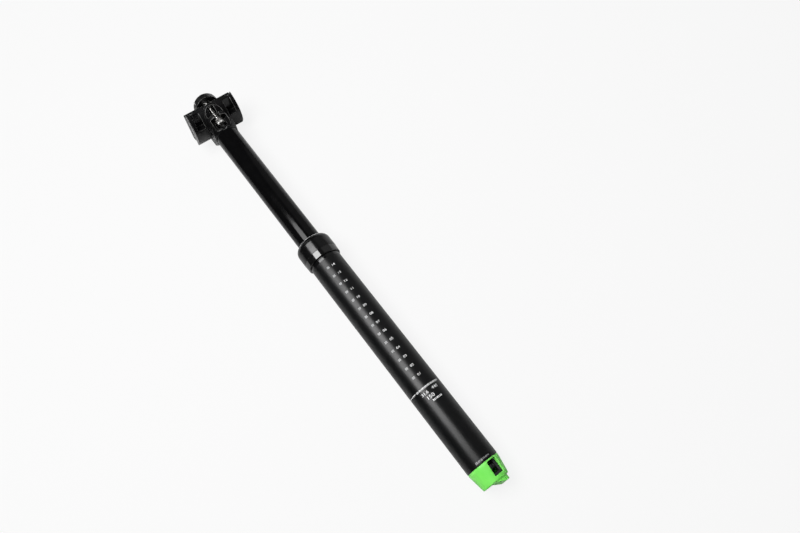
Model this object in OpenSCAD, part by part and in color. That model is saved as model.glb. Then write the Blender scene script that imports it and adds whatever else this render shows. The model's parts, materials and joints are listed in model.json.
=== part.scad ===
// Dropper seatpost: a tube that the frame clamps, a sliding stanchion with a gas cartridge inside,
// a two-bolt saddle clamp on top and a cable actuator at the bottom under a transport cap.
// Upright, +Z up to the saddle, +X forward, +Y to the rider's left, origin on the axis under the collar.

/* [Tubes] */
// Outside diameter of the tube that the frame clamps
tube_d = 31.6; // [31:0.1:34.9]
// Wall of that tube
tube_wall = 2; // [1.8:0.1:2.2]
// Gap between the tube and the stanchion, which the guide bushes fill
guide_gap = 1.8; // [1.6:0.1:2]
// Wall of the stanchion
stanchion_wall = 2; // [1.6:0.1:2.3]
// Drop of the saddle
travel = 150; // [80:5:170]
// Length of the stanchion that stays below the collar when it is up
tail_l = 56.5; // [56:0.5:70]
// Room inside the lower end of the tube, below the bottom plug
end_recess = 8.5; // [8:0.5:14]

/* [Collar and guides] */
// How far the lock collar stands out from the tube
collar_step = 2; // [1.5:0.1:2.6]
// Height of the lock collar
collar_h = 24; // [22.5:0.5:28]
// Height of the plain band at the foot of the collar
band_h = 7; // [4:0.5:9]
// Height of the thread that the collar screws on
thread_h = 10; // [8:0.5:10.5]
// Depth that the thread is turned below the tube
thread_cut = 0.9; // [0.7:0.1:1]
// Length of the upper guide bush inside the tube
upper_bush_l = 14; // [10:0.5:14]
// Length of the lower guide bush
lower_bush_l = 18; // [12:0.5:18]
// Height of the top-out bumper
top_bumper_h = 6; // [3:0.5:6]
// Height of the bottom-out bumper
bottom_bumper_h = 7; // [4:0.5:10]
// Gap left above the collar when the post is down
drop_gap = 3.5; // [2:0.5:8]

/* [Keys] */
// Number of anti-rotation keys
key_count = 3; // [2:1:4]
// Length of a key
key_l = 10; // [6:0.5:10]
// Depth that a key reaches into each tube
key_bite = 0.6; // [0.4:0.1:0.8]

/* [Saddle head] */
// Height of the rails above the foot of the head, on the axis
head_rise = 28; // [27:0.5:32]
// How far the head is wider than the stanchion on each side
head_side = 0.6; // [0.5:0.1:2]
// Length of the head, front to back
head_l = 46; // [45:0.5:47]
// Depth of the head's spigot in the stanchion
spigot_l = 15.5; // [12:0.5:25]
// Pitch of the rails, front end down
rail_pitch = 17; // [10:0.5:19]
// Diameter of a saddle rail
rail_d = 7; // [6.5:0.1:7.2]
// Distance between the two rails
rail_gap = 44; // [43:0.5:46]
// Height of the tilt centre above the rails
tilt_rise = 9; // [8.5:0.1:10]
// Radius of the curved seat under the cradle
seat_r = 22.5; // [22:0.1:23]
// Gap between cradle and upper clamp, which the rails hold open
clamp_gap = 2; // [1:0.1:2.4]
// Material outside a rail
rail_lip = 1; // [0.6:0.1:1.5]
// Distance from the tilt centre to each clamp bolt
bolt_reach = 16.5; // [16:0.1:17]
// Diameter of a clamp bolt
bolt_d = 5; // [4.5:0.1:5.4]
// Diameter of a clamp bolt's head
bolt_head_d = 8.5; // [8:0.1:9]
// Height of a clamp bolt's head
bolt_head_h = 5; // [3:0.1:5.4]
// Diameter of a barrel nut
nut_d = 8; // [7.8:0.1:8.4]
// Length of a barrel nut
nut_l = 20; // [14:0.5:22]
// Radius of the upper clamp's round lobes
lobe_r = 13; // [12.5:0.1:13]
// Largest tilt to each side
tilt_max = 8; // [2:0.5:8]

/* [Gas cartridge] */
// Gap between the stanchion and the cartridge inside it
cartridge_gap = 1; // [0.7:0.1:1.3]
// Wall of the cartridge tube
cartridge_wall = 0.8; // [0.6:0.1:0.9]
// Gap between the cartridge tube and the inner cylinder, which the floating piston fills
gas_gap = 1.2; // [1.1:0.1:1.5]
// Wall of the inner cylinder
inner_wall = 0.8; // [0.6:0.1:1]
// Bore of the inner cylinder as a multiple of the piston rod
rod_ratio = 1.55; // [1.5:0.05:1.7]
// Length of the piston
piston_l = 7.3; // [5:0.1:10]
// Length of the floating piston
floating_l = 8; // [5:0.5:12]

/* [Actuator] */
// Thickness of the bottom plug
plug_h = 12; // [8:0.5:16]
// Diameter of the valve pin
pin_d = 3; // [2.6:0.1:3.2]
// Lift of the valve pin
pin_lift = 1.47; // [0.8:0.01:1.5]
// Distance from the lever's pivot to the valve pin
lever_arm = 3.6; // [3.4:0.1:4]
// Diameter of the lever's pivot pin
pivot_d = 3; // [2.5:0.1:3.2]
// Diameter of the cable housing's ferrule
ferrule_d = 5; // [4:0.1:5]

/* [Transport cap] */
// Length of the cap below the tube
cap_l = 18; // [17.5:0.5:24]
// How far the cap draws in towards its end, on the radius
cap_taper = 2.55; // [1.3:0.05:2.8]
// Wall of the cap
cap_wall = 1.6; // [1:0.1:1.6]
// Depth of the cap's plug in the tube
cap_plug_l = 5.5; // [3:0.5:5.5]
// Width of the window in the cap's side
window_w = 10; // [4:0.5:11]
// Height of the pull boss on the cap's end
boss_h = 4.2; // [2:0.1:6]
// Direction that the cap's window faces, from +X
cap_turn = 200; // [0:5:355]

/* [Fits] */
// Running clearance of a sliding fit, on the radius
slide_gap = 0.05; // [0.02:0.01:0.08]
// Clearance of a thread or a bonded joint, on the radius
thread_gap = 0.03; // [0.02:0.01:0.06]
// Clearance between pieces that move past each other
free_gap = 0.3; // [0.25:0.05:0.5]
// Gap left between faces that seat on each other
seat_gap = 0.1; // [0.05:0.05:0.2]

/* [Hidden] */
$fn = 96;
eps = 1;

// Radii, from the outside in
tube_r = tube_d / 2;
tube_bore = tube_r - tube_wall;
thread_r = tube_r - thread_cut;
collar_r = tube_r + collar_step;
stanchion_r = tube_bore - guide_gap;
stanchion_bore = stanchion_r - stanchion_wall;
cartridge_r = stanchion_bore - cartridge_gap;
cartridge_bore = cartridge_r - cartridge_wall;
inner_r = cartridge_bore - gas_gap;
inner_bore = inner_r - inner_wall;
rod_r = inner_bore / rod_ratio;

// Heights of the tubes
head_z = collar_h + travel + drop_gap;
rail_z = head_z + head_rise;
bump_gap = 0.5;
bumper_z = -tail_l - travel - bump_gap;
plug_z = bumper_z - bottom_bumper_h;
plug_foot = plug_z - plug_h;
tube_foot = plug_foot - end_recess;

// Collar and guides
seal_room = 3;
rim_r = stanchion_r + seal_room;
seal_r = rim_r - seat_gap;
lip_r = stanchion_r + slide_gap;
flange_h = 1.5;
web_z = thread_h + flange_h + seat_gap;
web_h = 1.2;
web_top = web_z + web_h;
foam_h = 3.2;
foam_z = web_top + seat_gap;
wiper_z = foam_z + foam_h + seat_gap;
lid_h = 1.8;
lid_w = 1;
seal_top = collar_h - lid_h;
crown_edge = 0.4;
crown_h = 5.5;
crown_z = collar_h - crown_edge - crown_h;
key_d = guide_gap + 2 * key_bite;
key_ring_r = (tube_bore + stanchion_r) / 2;
key_top = -upper_bush_l - top_bumper_h - 2 * bump_gap;
key_foot = key_top - key_l;
bush_top = key_foot - bump_gap;
bush_foot = bush_top - lower_bush_l;
ring_h = 1.6;
ring_bite = 0.6;
ring_proud = 1.2;
ring_z = bush_foot - seat_gap - ring_h;

// Gas cartridge
base_flange_h = 6;
base_plug_h = 6;
base_top = plug_z + base_flange_h + base_plug_h;
cartridge_foot = plug_z + base_flange_h;
piston_room = 1.4;
piston_foot = base_top + travel + piston_room;
piston_top = piston_foot + piston_l;
gland_spigot_h = 4;
gland_room = 1.3;
gland_foot = piston_top + gland_room + gland_spigot_h;
gland_h = 12;
cartridge_top = gland_foot + gland_h;
gland_flange_h = 2;
rod_seal_h = 2.4;
rod_seal_w = 1.2;
rod_seal_z = cartridge_top - 3.5;
rod_top = head_z - spigot_l - seat_gap;
stub_ratio = 1.6;
rod_stub_r = rod_r / stub_ratio;
rod_nut_h = 5;
rod_nut_r = 4.6;
rod_nut_drop = 5.5;
rod_nut_z = head_z - rod_nut_drop;
floating_room = 4;
floating_foot = base_top + floating_room;
ring_play = 0.03;
piston_ring_h = 2.3;
piston_ring_w = 1.15;
piston_ring_z = piston_foot + (piston_l - piston_ring_h) / 2;
floating_ring_h = 2.1;
floating_ring_w = 0.57;
floating_ring_z = floating_foot + (floating_l - floating_ring_h) / 2;
valve_room_r = 3.5;
valve_sill = 2;
valve_floor = plug_z + valve_sill;
poppet_h = 2;
poppet_room = 1.5;
poppet_z = valve_floor + poppet_room;
poppet_r = 3;
retainer_h = 1;
oil_hole_r = 1.2;
retainer_z = base_top - retainer_h;

// Actuator
cord_d = 1.5;
stub_r = 4.5;
stub_l = 6.5;
nut_h = 4;
nut_hex_r = 6.4;
plate_h = 2.3;
plate_gap = 0.35;
plate_r = tube_r - cap_taper - cap_wall - plate_gap;
plate_z = plug_foot - plate_h - seat_gap;
nut_z = plate_z - nut_h - seat_gap;
pivot_x = -lever_arm;
cable_edge = 2.7;
cable_x = cable_edge - plate_r;
cable_arm = pivot_x - cable_x;
pivot_drop = 14.6;
pivot_z = plug_foot - pivot_drop;
nose_r = 1.8;
pin_foot = pivot_z + nose_r + free_gap;
hub_r = 2.7;
ear_y = 6.6;
ear_t = 2;
ear_lap = 1.4;
ear_x = cable_x + ear_lap;
stop_h = 3;
stop_drop = 9;
stop_z = pivot_z - stop_drop;
stop_l = 5.6;
stop_floor = 1;
nipple_d = 4.2;
wire_slot = 1.8;

// Saddle clamp
head_w = 2 * (stanchion_r + head_side);
pitch_c = cos(rail_pitch);
tilt_x = tilt_rise * sin(rail_pitch);
tilt_z = rail_z + tilt_rise * pitch_c;
cradle_top = -tilt_rise - clamp_gap / 2;
cradle_w = rail_gap + rail_d + 2 * rail_lip;
bolt_x = bolt_reach * pitch_c;
swing = rail_pitch + tilt_max;
front_nut_z = tilt_z - bolt_reach * sin(rail_pitch);
rear_nut_z = tilt_z + bolt_reach * sin(rail_pitch);
bolt_play = 0.6;
slot_w = bolt_d + 2 * bolt_play;
swing_in = bolt_x - bolt_reach * cos(swing);
ledge_rise = 13;
ledge_z = head_z + ledge_rise;
washer_h = 1.2;
washer_rim = 0.45;
washer_d = bolt_head_d + 2 * washer_rim;
socket_d = 4.6;
bolt_tip = 1;
washer_z = ledge_z - free_gap - washer_h;
lobe_x = 11.7;
lobe_foot = -6;
lobe_top = 1.5;
wing_top = -2.2;
wing_l = 30;

// Transport cap
cap_step = 0.2;
cap_flange_r = tube_r - cap_step;
cap_end_r = tube_r - cap_taper;
cap_top = tube_foot - seat_gap;
cap_foot = cap_top - cap_l;
cap_round = 1.2;

// A ring about the post's axis
module ring(z, h, inner, outer) {
    translate([0, 0, z])
        rotate_extrude()
            translate([inner, 0])
                square([outer - inner, h]);
}

// A round cord bent into a ring about the post's axis
module o_ring(z, ring_r, cord_r) {
    translate([0, 0, z])
        rotate_extrude()
            translate([ring_r, 0])
                circle(cord_r, $fn = 32);
}

// A bar across the post, centred on the mid-plane
module cross_bar(x, z, r, l) {
    translate([x, 0, z])
        rotate([90, 0, 0])
            cylinder(r = r, h = l, center = true);
}

// The clamp's own axes: origin on the tilt centre, turned so that the rails run along x
module in_clamp() {
    translate([tilt_x, 0, tilt_z])
        rotate([0, rail_pitch, 0])
            children();
}

// An upright slot of width w, from x0 to x1, with a round inner end at x0
module bolt_slot(side, x0, x1, w, z0, z1) {
    translate([side * x0, 0, z0])
        cylinder(d = w, h = z1 - z0);
    translate([side > 0 ? x0 : -x1, -w / 2, z0])
        cube([x1 - x0, w, z1 - z0]);
}

// A round-topped opening of half-width r along x, from z0 up to z1
module arch_cut(x0, l, r, z0, z1) {
    intersection() {
        translate([x0, -r - eps, z0])
            cube([l, 2 * r + 2 * eps, z1 + eps - z0]);
        union() {
            translate([x0, 0, z1 - r])
                rotate([0, 90, 0])
                    cylinder(r = r, h = l);
            translate([x0, -r, z1 - 3 * r])
                cube([l, 2 * r, 2 * r]);
        }
    }
}

// Points of an arc, in degrees
function arc(cx, cy, r, a0, a1, n) =
    [for (i = [0 : n]) let (a = a0 + (a1 - a0) * i / n) [cx + r * cos(a), cy + r * sin(a)]];

module outer_tube() {
    chamfer = 0.5;
    color("#161617")
        difference() {
            rotate_extrude()
                polygon([
                    [tube_bore, tube_foot], [tube_r - chamfer, tube_foot], [tube_r, tube_foot + chamfer],
                    [tube_r, 0], [thread_r, 0], [thread_r, thread_h], [tube_bore, thread_h]
                ]);
            for (i = [0 : key_count - 1])
                rotate([0, 0, 360 * i / key_count])
                    translate([key_ring_r, 0, tube_foot - eps])
                        cylinder(d = key_d + 2 * slide_gap, h = key_top + top_bumper_h - tube_foot + eps);
        }
}

// The crown bulges from the collar's side to its rim on one arc
module lock_collar() {
    foot_in = 0.4;
    foot_edge = 0.4;
    foot_r = collar_r - foot_in;
    drop_r = collar_r - rim_r;
    crown_r = (drop_r * drop_r + crown_h * crown_h) / (2 * drop_r);
    crown_a = asin(crown_h / crown_r);
    groove = 0.25;
    web_r = stanchion_r + 0.6;
    nut_r = thread_r + thread_gap;
    color("#1b1b1c")
        rotate_extrude()
            polygon(concat(
                [[nut_r, 0], [foot_r - foot_edge, 0], [foot_r, foot_edge]],
                [[collar_r - groove, band_h - groove], [collar_r - 2 * groove, band_h]],
                [[collar_r, band_h + groove]],
                arc(collar_r - crown_r, crown_z, crown_r, 0, crown_a, 10),
                [[rim_r - crown_edge, collar_h], [rim_r - lid_w, collar_h], [rim_r - lid_w, seal_top]],
                [[rim_r, seal_top], [rim_r, web_top], [web_r, web_top], [web_r, web_z], [nut_r, web_z]]
            ));
}

// The lip leans in to the stanchion and stands just proud of the collar
module wiper_seal() {
    back_r = stanchion_r + 0.45;
    back_top = seal_top - seat_gap;
    neck_r = rim_r - lid_w - seat_gap;
    lip_top = collar_h + 0.9;
    lip_w = 0.2;
    lip_h = 0.4;
    lip_root = 2;
    color("#0d0d0e")
        rotate_extrude()
            polygon([
                [back_r, wiper_z], [seal_r, wiper_z], [seal_r, back_top], [neck_r, back_top],
                [neck_r, collar_h], [lip_r + lip_w, lip_top], [lip_r, lip_top - lip_h],
                [back_r, collar_h - lip_root]
            ]);
}

module foam_ring() {
    color("#3a3a3c")
        ring(foam_z, foam_h, lip_r, seal_r);
}

module upper_bushing() {
    color("#26272a")
        union() {
            ring(-upper_bush_l, upper_bush_l + thread_h, lip_r, tube_bore - thread_gap);
            ring(thread_h, flange_h, lip_r, thread_r - seat_gap);
        }
}

module top_out_bumper() {
    foot = -upper_bush_l - seat_gap - top_bumper_h;
    color("#b9442f")
        ring(foot, top_bumper_h, stanchion_r + free_gap, tube_bore - seat_gap);
}

module bottom_out_bumper() {
    color("#b9442f")
        ring(plug_z, bottom_bumper_h, cartridge_r + free_gap, tube_bore - free_gap);
}

module bottom_plug() {
    groove_h = cord_d + 2 * seat_gap;
    groove_z = plug_foot + (plug_h - groove_h) / 2;
    color("#8d9094")
        difference() {
            ring(plug_foot, plug_h, stub_r + thread_gap, tube_bore - thread_gap);
            ring(groove_z, groove_h, tube_bore - groove_h, tube_r);
        }
}

module plug_o_ring() {
    color("#0d0d0e")
        o_ring(plug_foot + plug_h / 2, tube_bore - seat_gap - cord_d / 2, cord_d / 2);
}

// The stub runs down through the plug and takes the nut; the valve works in the room at the top
module cartridge_base() {
    pin_hole_r = pin_d / 2 + slide_gap;
    neck_r = cartridge_bore - thread_gap;
    color("#b8bbc0")
        rotate_extrude()
            polygon([
                [pin_hole_r, plug_foot - stub_l], [stub_r, plug_foot - stub_l], [stub_r, plug_z],
                [cartridge_r, plug_z], [cartridge_r, cartridge_foot], [neck_r, cartridge_foot],
                [neck_r, base_top], [valve_room_r, base_top], [valve_room_r, valve_floor],
                [pin_hole_r, valve_floor]
            ]);
}

module cartridge_tube() {
    color("#2b2c2f")
        ring(cartridge_foot, cartridge_top - cartridge_foot, cartridge_bore, cartridge_r);
}

module inner_cylinder() {
    color("#c4c7cb")
        ring(base_top, gland_foot - base_top, inner_bore, inner_r);
}

module cartridge_gland() {
    rod_hole_r = rod_r + slide_gap;
    spigot_r = inner_bore - thread_gap;
    spigot_foot = gland_foot - gland_spigot_h;
    neck_r = cartridge_bore - thread_gap;
    flange_top = cartridge_top + gland_flange_h;
    color("#b8bbc0")
        difference() {
            rotate_extrude()
                polygon([
                    [rod_hole_r, spigot_foot], [spigot_r, spigot_foot], [spigot_r, gland_foot],
                    [neck_r, gland_foot], [neck_r, cartridge_top], [cartridge_r, cartridge_top],
                    [cartridge_r, flange_top], [rod_hole_r, flange_top]
                ]);
            ring(rod_seal_z - seat_gap, rod_seal_h + 2 * seat_gap, rod_r, rod_r + rod_seal_w + seat_gap);
        }
}

module rod_seal() {
    color("#0d0d0e")
        ring(rod_seal_z, rod_seal_h, rod_r + slide_gap, rod_r + rod_seal_w);
}

module cartridge_nut() {
    color("#8d9094")
        translate([0, 0, nut_z])
            difference() {
                cylinder(r = nut_hex_r, h = nut_h, $fn = 6);
                translate([0, 0, -eps])
                    cylinder(r = stub_r + thread_gap, h = nut_h + 2 * eps);
            }
}

module valve_retainer() {
    color("#8d9094")
        ring(retainer_z, retainer_h, oil_hole_r, valve_room_r - thread_gap);
}

// A plate under the plug carries two ears for the lever and the bar that stops the cable housing
module actuator_base() {
    color("#1f2022")
        difference() {
            union() {
                ring(plate_z, plate_h, stub_r + thread_gap, plate_r);
                intersection() {
                    union() {
                        for (side = [-1, 1])
                            translate([ear_x, side * (ear_y + ear_t / 2) - ear_t / 2, stop_z])
                                cube([-ear_x, ear_t, plate_z + eps - stop_z]);
                        translate([cable_x - stop_l / 2, -ear_y - eps, stop_z])
                            cube([stop_l, 2 * (ear_y + eps), stop_h]);
                    }
                    translate([0, 0, stop_z])
                        cylinder(r = plate_r, h = plate_z + eps - stop_z);
                }
            }
            cross_bar(pivot_x, pivot_z, pivot_d / 2 + thread_gap, 4 * ear_y);
            translate([cable_x, 0, stop_z - eps])
                cylinder(d = ferrule_d / 2, h = stop_h + 2 * eps);
            translate([cable_x, 0, stop_z - eps])
                cylinder(d = ferrule_d + 2 * seat_gap, h = stop_h - stop_floor + eps);
        }
}

module lever_pivot_pin() {
    color("#b8bbc0")
        cross_bar(pivot_x, pivot_z, pivot_d / 2, 2 * (ear_y + ear_t + seat_gap));
}

// A rocker: the cable pulls its rear end down and the nose lifts the valve pin
module actuator_lever() {
    hub_w = 2 * (ear_y - free_gap);
    arm_w = 5;
    tail_r = nipple_d / 2 + 0.7;
    color("#34363a")
        difference() {
            union() {
                cross_bar(pivot_x, pivot_z, hub_r, hub_w);
                cross_bar(0, pivot_z, nose_r, arm_w);
                cross_bar(cable_x, pivot_z, tail_r, arm_w);
                translate([pivot_x, -arm_w / 2, pivot_z - nose_r])
                    cube([lever_arm, arm_w, 2 * nose_r]);
                translate([cable_x, -arm_w / 2, pivot_z - tail_r])
                    cube([cable_arm, arm_w, 2 * tail_r]);
            }
            cross_bar(pivot_x, pivot_z, pivot_d / 2 + slide_gap, hub_w + 2 * eps);
            cross_bar(cable_x, pivot_z, nipple_d / 2, arm_w + 2 * eps);
            translate([cable_x - wire_slot / 2, -wire_slot / 2, pivot_z - hub_r - eps])
                cube([wire_slot, wire_slot, hub_r + eps]);
        }
}

module valve_pin() {
    color("#c4c7cb")
        union() {
            translate([0, 0, pin_foot])
                cylinder(d = pin_d, h = poppet_z + poppet_h / 2 - pin_foot);
            translate([0, 0, poppet_z])
                cylinder(r = poppet_r, h = poppet_h);
        }
}

// A wire swept along a helix, with rings of wire_n points
module valve_spring() {
    wire_r = 0.28;
    coil_r = 2.4;
    turns = 4;
    steps = 12;
    wire_n = 6;
    foot = poppet_z + poppet_h + seat_gap + wire_r;
    rise = retainer_z - seat_gap - wire_r - foot;
    count = turns * steps;
    points = [for (i = [0 : count], k = [0 : wire_n - 1])
        let (a = 360 * i / steps, b = 360 * k / wire_n, r = coil_r + wire_r * cos(b))
            [r * cos(a), r * sin(a), foot + rise * i / count + wire_r * sin(b)]];
    sides = [for (i = [0 : count - 1], k = [0 : wire_n - 1])
        let (m = (k + 1) % wire_n, p = i * wire_n, q = p + wire_n)
            each [[p + k, q + m, q + k], [p + k, p + m, q + m]]];
    foot_end = [for (k = [1 : wire_n - 2]) [0, k + 1, k]];
    top_end = [for (k = [1 : wire_n - 2]) let (t = count * wire_n) [t, t + k, t + k + 1]];
    color("#c4c7cb")
        polyhedron(points, concat(sides, foot_end, top_end));
}

module stanchion_tube() {
    color("#101011")
        difference() {
            ring(-tail_l, head_z + tail_l, stanchion_bore, stanchion_r);
            for (i = [0 : key_count - 1])
                rotate([0, 0, 360 * i / key_count])
                    translate([key_ring_r, 0, key_foot - thread_gap])
                        cylinder(d = key_d + 2 * thread_gap, h = key_l + 2 * thread_gap);
            ring(ring_z - thread_gap, ring_h + 2 * thread_gap, stanchion_r - ring_bite, stanchion_r + eps);
        }
}

module anti_rotation_keys() {
    color("#c9a352")
        for (i = [0 : key_count - 1])
            rotate([0, 0, 360 * i / key_count])
                translate([key_ring_r, 0, key_foot])
                    cylinder(d = key_d, h = key_l);
}

module lower_bushing() {
    color("#26272a")
        ring(bush_foot, lower_bush_l, stanchion_r + thread_gap, tube_bore - slide_gap);
}

module retaining_ring() {
    mouth = 5;
    color("#8d9094")
        difference() {
            ring(ring_z, ring_h, stanchion_r - ring_bite + thread_gap, stanchion_r + ring_proud);
            translate([0, -mouth / 2, ring_z - eps])
                cube([tube_r, mouth, ring_h + 2 * eps]);
        }
}

module piston_rod() {
    color("#d3d6da")
        union() {
            translate([0, 0, piston_top])
                cylinder(r = rod_r, h = rod_top - piston_top);
            translate([0, 0, piston_foot])
                cylinder(r = rod_stub_r, h = piston_top - piston_foot + eps);
            translate([0, 0, rod_top - eps])
                cylinder(r = rod_stub_r, h = rod_nut_z + rod_nut_h - rod_top + 2 * eps);
        }
}

module rod_piston() {
    groove_r = inner_bore - piston_ring_w - slide_gap;
    color("#b8bbc0")
        difference() {
            ring(piston_foot, piston_l, rod_stub_r + thread_gap, inner_bore - slide_gap);
            ring(piston_ring_z - slide_gap, piston_ring_h + 2 * slide_gap, groove_r, inner_r);
        }
}

module piston_ring() {
    color("#0d0d0e")
        ring(piston_ring_z, piston_ring_h, inner_bore - piston_ring_w, inner_bore - ring_play);
}

module rod_nut() {
    color("#8d9094")
        translate([0, 0, rod_nut_z])
            difference() {
                cylinder(r = rod_nut_r, h = rod_nut_h, $fn = 6);
                translate([0, 0, -eps])
                    cylinder(r = rod_stub_r + thread_gap, h = rod_nut_h + 2 * eps);
            }
}

module floating_piston() {
    groove_r = cartridge_bore - floating_ring_w - ring_play;
    color("#b8bbc0")
        difference() {
            ring(floating_foot, floating_l, inner_r + slide_gap, cartridge_bore - slide_gap);
            ring(floating_ring_z - slide_gap, floating_ring_h + 2 * slide_gap, groove_r, cartridge_r);
        }
}

module floating_ring() {
    color("#0d0d0e")
        ring(floating_ring_z, floating_ring_h, cartridge_bore - floating_ring_w, cartridge_bore - ring_play);
}

// Outline of the head from above, with nearly half-round ends
module head_plan() {
    end_flat = 1;
    corner = (head_w - end_flat) / 2;
    square([head_l - 2 * corner, head_w], center = true);
    square([head_l, end_flat], center = true);
    for (x = [-1, 1], y = [-1, 1])
        translate([x * (head_l / 2 - corner), y * (head_w / 2 - corner)])
            circle(r = corner);
}

// The foot is round like the stanchion and flares to two ears, with a curved seat across the top;
// the rear ear is an arch round a wide recess, where the rear bolt stands
module saddle_head() {
    half_w = head_w / 2;
    front = tilt_x + head_l / 2;
    rear = tilt_x - head_l / 2;
    foot_r = stanchion_r + head_side / 2;
    flare_z = head_z + 11;
    crown_drop = 5;
    crown = tilt_z - crown_drop;
    front_crown = tilt_z - head_l / 2 * tan(swing) + lobe_foot / cos(swing) - free_gap;
    crown_x = tilt_x + (lobe_foot / cos(swing) - free_gap + crown_drop) / tan(swing);
    flare = 1;
    brow_z = crown - half_w;
    pocket_w = washer_d + 1.4;
    pocket_floor = head_z + 4;
    shelf_top = ledge_z + 4.5;
    slot_x = bolt_x - swing_in - seat_gap;
    side_wall = 4.2;
    brow = 3;
    recess_floor = head_z + 1.5;
    recess_r = half_w - side_wall;
    recess_l = head_l / 2 + eps - slot_x;
    color("#151516")
        difference() {
            union() {
                intersection() {
                    translate([tilt_x, 0, head_z])
                        linear_extrude(crown - head_z)
                            head_plan();
                    rotate([90, 0, 0])
                        linear_extrude(head_w + 2 * eps, center = true)
                            polygon([
                                [-half_w, head_z], [half_w, head_z], [front, flare_z], [front, front_crown],
                                [crown_x, crown], [rear, crown], [rear, flare_z]
                            ]);
                    rotate([90, 0, 90])
                        linear_extrude(3 * head_l, center = true) {
                            translate([-half_w, head_z])
                                square([head_w, brow_z - head_z]);
                            translate([0, brow_z])
                                circle(r = half_w);
                        }
                    translate([0, 0, head_z])
                        cylinder(r1 = foot_r, r2 = foot_r + flare * (crown - head_z), h = crown - head_z);
                }
                translate([0, 0, head_z - spigot_l])
                    cylinder(r = stanchion_bore - thread_gap, h = spigot_l + eps);
            }
            cross_bar(tilt_x, tilt_z, seat_r + slide_gap, head_w + 2 * eps);
            translate([0, 0, head_z - spigot_l - eps])
                cylinder(r = rod_stub_r + thread_gap, h = spigot_l);
            translate([0, 0, rod_nut_z])
                cylinder(r = rod_nut_r + 0.8, h = crown - rod_nut_z);
            for (side = [-1, 1])
                bolt_slot(side, stanchion_r + slot_w / 2, head_l, slot_w, head_z - eps, ledge_z);
            translate([tilt_x, 0, 0]) {
                for (side = [-1, 1])
                    bolt_slot(side, slot_x, head_l, pocket_w, pocket_floor, ledge_z);
                bolt_slot(1, slot_x, head_l, slot_w, pocket_floor, crown + eps);
                bolt_slot(1, slot_x, head_l, pocket_w, shelf_top, crown + eps);
                bolt_slot(-1, slot_x, head_l, slot_w, pocket_floor, crown - brow - recess_r / 2);
                translate([-head_l / 2 - eps, -recess_r, recess_floor])
                    cube([recess_l, 2 * recess_r, ledge_z - recess_floor]);
                arch_cut(-head_l / 2 - eps, recess_l, recess_r, shelf_top, crown - brow);
            }
        }
}

// The two rails, for cutting their grooves
module rail_cuts() {
    for (side = [-1, 1])
        translate([0, side * rail_gap / 2, -tilt_rise])
            rotate([0, 90, 0])
                cylinder(d = rail_d, h = 4 * seat_r, center = true);
}

// A half-moon across the post, hollowed under the wings, with a groove for each rail on top
module lower_cradle() {
    pocket_x = -3;
    pocket_w = 8;
    pocket_wall = 1.2;
    pocket_y = head_w / 2 + 1.6;
    pocket_roof = -tilt_rise - rail_d / 2 - pocket_wall;
    slope = tan(swing);
    grade = 1 + slope * slope;
    seat_drop = (bolt_reach * slope + sqrt(seat_r * seat_r * grade - bolt_reach * bolt_reach)) / grade;
    rear_slot = bolt_reach - seat_drop * slope;
    front_slot = bolt_reach - cradle_top * tan(rail_pitch - tilt_max) - free_gap;
    color("#1a1a1b")
        in_clamp()
            difference() {
                intersection() {
                    cross_bar(0, 0, seat_r, cradle_w);
                    translate([-seat_r, -cradle_w / 2, -seat_r - eps])
                        cube([2 * seat_r, cradle_w, seat_r + eps + cradle_top]);
                }
                rail_cuts();
                for (side = [-1, 1])
                    translate([-seat_r - eps, side > 0 ? pocket_y : -pocket_y - pocket_w, -seat_r - eps])
                        cube([seat_r + eps + pocket_x, pocket_w, seat_r + eps + pocket_roof]);
                bolt_slot(-1, rear_slot, seat_r, slot_w, -seat_r, 0);
                bolt_slot(1, front_slot, seat_r, slot_w, -seat_r, 0);
            }
}

// Two round lobes carry the barrel nuts, and a wing on each side presses on a rail
module upper_clamp() {
    foot = -tilt_rise + clamp_gap / 2;
    slot_run = -foot * tan(swing);
    dish_h = 3;
    color("#1a1a1b")
        in_clamp()
            difference() {
                union() {
                    for (side = [-1, 1])
                        translate([side * lobe_x, 0, lobe_foot])
                            cylinder(r = lobe_r, h = lobe_top - lobe_foot);
                    translate([-lobe_x, -lobe_r, lobe_foot])
                        cube([2 * lobe_x, 2 * lobe_r, lobe_top - lobe_foot]);
                    translate([-wing_l / 2, -cradle_w / 2, foot])
                        cube([wing_l, cradle_w, wing_top - foot]);
                }
                rail_cuts();
                for (side = [-1, 1]) {
                    cross_bar(side * bolt_reach, 0, nut_d / 2 + slide_gap, nut_l + 2 * free_gap);
                    translate([side * bolt_reach - slot_w / 2, -slot_w / 2, foot - eps])
                        cube([slot_w + slot_run, slot_w, -foot + eps]);
                }
                translate([-lobe_x / 2, -lobe_r / 2, lobe_top - dish_h])
                    cube([lobe_x, lobe_r, dish_h + eps]);
            }
}

// A barrel nut with an upright threaded hole
module barrel_nut(side) {
    color("#c4c7cb")
        difference() {
            cross_bar(tilt_x + side * bolt_x, side > 0 ? front_nut_z : rear_nut_z, nut_d / 2, nut_l);
            translate([tilt_x + side * bolt_x, 0, 0])
                cylinder(d = bolt_d + 2 * slide_gap, h = 2 * tilt_z);
        }
}

module front_barrel_nut() {
    barrel_nut(1);
}

module rear_barrel_nut() {
    barrel_nut(-1);
}

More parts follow.
